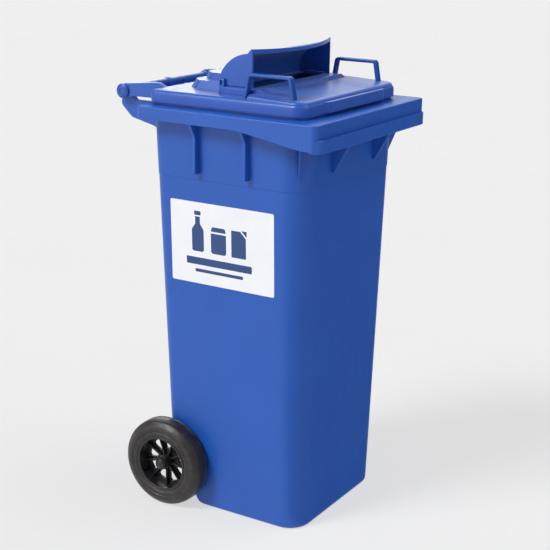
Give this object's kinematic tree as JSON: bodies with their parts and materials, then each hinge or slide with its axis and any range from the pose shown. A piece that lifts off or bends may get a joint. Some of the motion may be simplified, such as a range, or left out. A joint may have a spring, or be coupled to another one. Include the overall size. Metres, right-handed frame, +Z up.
{
  "type": "two-wheeled bin",
  "caption": "Tall blue wheeled bin with a tapered tub, a hinged lid carrying an open throw-in hood and bow handles, a rear bar and wheels on a steel axle.",
  "frame": {"origin": "on the ground under the middle of the rim, in the tub's flat base", "axes": "+X across the bin to its right side as seen from behind the origin looking to +Y, +Y from the comb edge at the front to the handle bar at the back, +Z up"},
  "size_m": [0.48, 0.547, 1.025],
  "materials": {
    "tub_plastic": "satin moulded blue",
    "lid_plastic": "satin moulded blue",
    "fitting_plastic": "satin moulded blue",
    "wheel_plastic": "satin black",
    "tread_rubber": "dull black",
    "steel": "zinc-plated",
    "label_film": "white film"
  },
  "bodies": {
    "tub": {"bin_body": "tub_plastic", "rear_handle_bar": "fitting_plastic", "hinge_pin_left": "fitting_plastic", "hinge_pin_right": "fitting_plastic", "axle": "steel", "retaining_ring_left": "steel", "retaining_ring_right": "steel", "axle_spacer_left": "wheel_plastic", "axle_spacer_right": "wheel_plastic", "side_label": "label_film"},
    "lid_assembly": {"lid": "lid_plastic", "throw_in_hood": "lid_plastic", "hood_clip_left": "fitting_plastic", "hood_clip_right": "fitting_plastic", "lid_handle_left": "fitting_plastic", "lid_handle_right": "fitting_plastic", "hood_screws": "steel", "handle_screws": "steel"},
    "wheel_left": {"wheel_hub_left": "wheel_plastic", "tyre_left": "tread_rubber", "hub_cap_left": "wheel_plastic"},
    "wheel_right": {"wheel_hub_right": "wheel_plastic", "tyre_right": "tread_rubber", "hub_cap_right": "wheel_plastic"}
  },
  "joints": [
    {"name": "lid_hinge", "type": "hinge", "parent": "tub", "child": "lid_assembly", "pos_m": [0, 0.308, 0.914], "axis": [-1, 0, 0], "range_deg": [0, 265]},
    {"name": "wheel_left_spin", "type": "hinge", "parent": "tub", "child": "wheel_left", "pos_m": [-0.2, 0.17, 0.1], "axis": [1, 0, 0], "continuous": true},
    {"name": "wheel_right_spin", "type": "hinge", "parent": "tub", "child": "wheel_right", "pos_m": [0.2, 0.17, 0.1], "axis": [1, 0, 0], "continuous": true}
  ]
}
